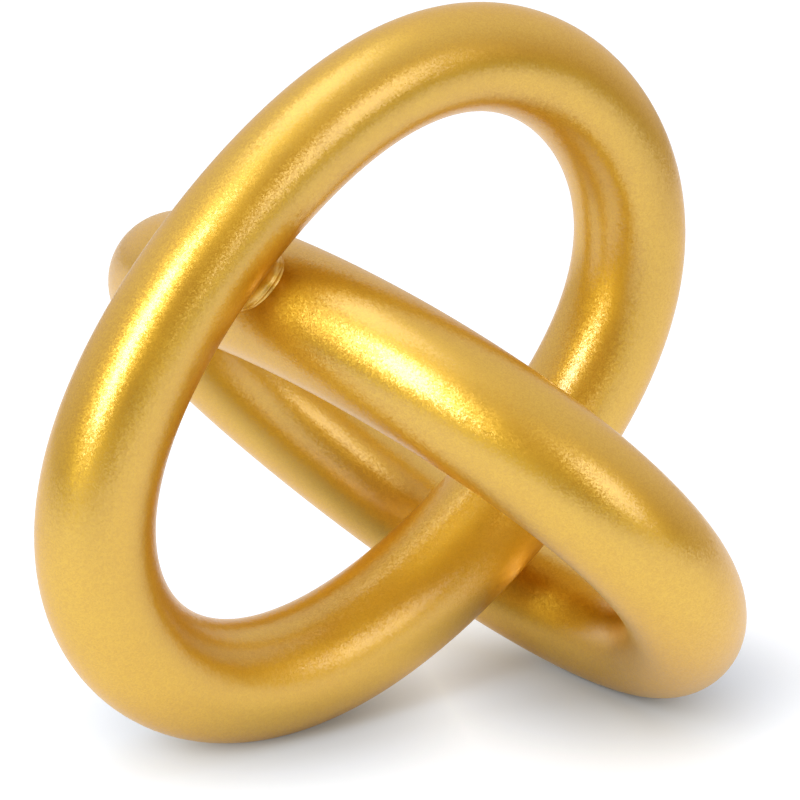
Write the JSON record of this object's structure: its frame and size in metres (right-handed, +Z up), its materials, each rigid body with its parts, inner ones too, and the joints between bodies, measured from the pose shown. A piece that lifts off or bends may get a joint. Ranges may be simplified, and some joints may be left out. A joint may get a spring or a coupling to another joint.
{
  "type": "knot sculpture",
  "caption": "Tabletop knot sculpture of linked oval rings of thick round tube, bonded where they cross, in satin metallic gold.",
  "frame": {"origin": "on the table top, under the middle of the outline seen from above", "axes": "+Z up, +X to the right and -Y towards the viewer, as the sculpture is pictured"},
  "size_m": [0.1314, 0.104, 0.1392],
  "materials": {
    "gold_paint": "cast resin with satin metallic gold spray paint",
    "dowel_steel": "plain ground steel",
    "felt": "dark needled felt"
  },
  "bodies": {
    "root": {"tall_ring_upper_half": "gold_paint", "tall_ring_lower_half": "gold_paint", "tall_ring_left_dowel": "dowel_steel", "tall_ring_right_dowel": "dowel_steel", "leaning_ring_upper_half": "gold_paint", "leaning_ring_lower_half": "gold_paint", "leaning_ring_left_dowel": "dowel_steel", "leaning_ring_right_dowel": "dowel_steel", "upper_bond": "gold_paint", "lower_bond": "gold_paint", "tall_ring_foot_pad": "felt", "leaning_ring_foot_pad": "felt"}
  },
  "joints": []
}
